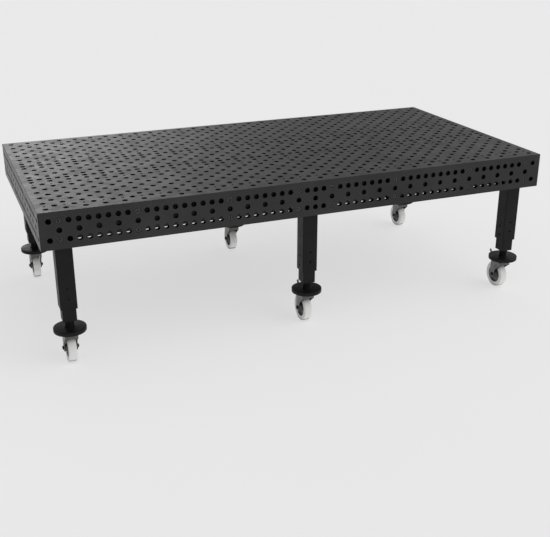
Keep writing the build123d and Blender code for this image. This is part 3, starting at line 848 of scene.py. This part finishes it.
# Mesh, CAD node, body and material slot of the pieces that each leg has
LEG_PIECES = (
    (wheel_mesh, "wheel", "roller", "white_polyamide"),
    (fork_mesh, "fork", "swivel", "zinc_plate"),
    (axle_mesh, "axle", "swivel", "black_oxide"),
    (caster_plate_mesh, "caster_plate", "foot", "zinc_plate"),
    (spindle_mesh, "foot_spindle", "foot", "black_paint"),
    (pedal_mesh, "brake_pedal", "pedal", "zinc_plate"),
)


def with_material(mesh, name):
    mesh.materials.clear()
    mesh.materials.append(MATERIALS[name])
    return mesh


def add_piece(mesh, node, body, place=(0, 0, 0)):
    """A finer piece in place of a CAD node, moving with a body."""
    piece = bpy.data.objects.new(f"fine_{node}", mesh)
    scene.collection.objects.link(piece)
    piece.location = place
    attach(piece, body)
    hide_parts(node)


def add_fine_pieces():
    for make, node, body, slot in LEG_PIECES:
        mesh = with_material(make(), slot)
        for leg in LEGS:
            low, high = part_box(f"foot_spindle_{leg}")
            place = ((low.x + high.x) / 2, (low.y + high.y) / 2, 0)
            add_piece(mesh, f"{node}_{leg}", f"{body}_{leg}", place)
    screws = with_material(side_screws_mesh(), "turned_heads")
    add_piece(screws, "side_screws", "table_frame")


add_fine_pieces()


# Floor, light and camera ------------------------------------------------------------

FLOOR_DARK = (0.40, 0.40, 0.40)
FLOOR_PALE = (0.41, 0.41, 0.41)
FLOOR_GLOW = 0.58
FLOOR_HALF = 60.0
FLOOR_GAP = 0.0005           # keeps the wheels' lowest points out of the floor
SKY = 0.30                   # brightness of the studio all round
# Soft lobes of light: azimuth from straight back towards the right and elevation in
# degrees, sharpness and brightness
LOBES = (
    (3.0, 16.0, 55.0, 2.8),
    (62.0, 14.0, 10.0, 0.6),
    (140.0, 30.0, 3.0, 1.1),
)
CAMERA_PLACE = Vector((-1.969, -4.967, 2.272))
CAMERA_HEADING = 22.26       # from straight back towards the right, in degrees
CAMERA_PITCH = 22.14         # downwards
CAMERA_LENS = 57.6
SENSOR_WIDTH = 36.0


def make_floor():
    """A pale floor that glows a little itself, so that it stays even and shadows stay soft."""
    shader = Shader("floor", FLOOR_DARK, 0.0, 0.95)
    shader.surface.inputs["Specular IOR Level"].default_value = 0.0
    patches = shader.spread(shader.noise(0.6), 0.3, 0.7)
    shader.colour(shader.mix(patches, FLOOR_DARK, FLOOR_PALE))
    shader.surface.inputs["Emission Color"].default_value = (1, 1, 1, 1)
    shader.surface.inputs["Emission Strength"].default_value = FLOOR_GLOW
    mesh = bpy.data.meshes.new("floor")
    half = FLOOR_HALF
    corners = [(-half, -half, 0), (half, -half, 0), (half, half, 0), (-half, half, 0)]
    mesh.from_pydata(corners, [], [(0, 1, 2, 3)])
    floor = bpy.data.objects.new("floor", mesh)
    scene.collection.objects.link(floor)
    mesh.materials.append(shader.material)
    floor.location.z = cad_low.z - FLOOR_GAP


def make_light():
    """A studio with no lamps in it: an even glow all round and a few soft brighter places."""
    world = bpy.data.worlds.new("studio")
    world.use_nodes = True
    nodes, links = world.node_tree.nodes, world.node_tree.links
    place = nodes.new("ShaderNodeTexCoord").outputs["Generated"]
    total = None
    for azimuth, elevation, sharpness, brightness in LOBES:
        toward = nodes.new("ShaderNodeVectorMath")
        toward.operation = "DOT_PRODUCT"
        links.new(place, toward.inputs[0])
        toward.inputs[1].default_value = heading_vector(azimuth, elevation)
        ahead = nodes.new("ShaderNodeMath")
        ahead.operation = "MAXIMUM"
        links.new(toward.outputs["Value"], ahead.inputs[0])
        ahead.inputs[1].default_value = 0.0
        lobe = nodes.new("ShaderNodeMath")
        lobe.operation = "POWER"
        links.new(ahead.outputs["Value"], lobe.inputs[0])
        lobe.inputs[1].default_value = sharpness
        summed = nodes.new("ShaderNodeMath")
        summed.operation = "MULTIPLY_ADD"
        links.new(lobe.outputs["Value"], summed.inputs[0])
        summed.inputs[1].default_value = brightness
        if total:
            links.new(total, summed.inputs[2])
        else:
            summed.inputs[2].default_value = SKY
        total = summed.outputs["Value"]
    background = nodes["Background"]
    background.inputs["Color"].default_value = (1, 1, 1, 1)
    links.new(total, background.inputs["Strength"])
    scene.world = world


def heading_vector(azimuth, elevation):
    """A direction from degrees: azimuth from straight back towards the right."""
    a, e = math.radians(azimuth), math.radians(elevation)
    return Vector((math.sin(a) * math.cos(e), math.cos(a) * math.cos(e), math.sin(e)))


def make_camera():
    data = bpy.data.cameras.new("camera")
    data.lens = CAMERA_LENS
    data.sensor_width = SENSOR_WIDTH
    camera = bpy.data.objects.new("camera", data)
    scene.collection.objects.link(camera)
    camera.location = CAMERA_PLACE
    look = heading_vector(CAMERA_HEADING, -CAMERA_PITCH)
    camera.rotation_mode = "QUATERNION"
    camera.rotation_quaternion = look.to_track_quat("-Z", "Y")
    scene.camera = camera


make_floor()
make_light()
make_camera()
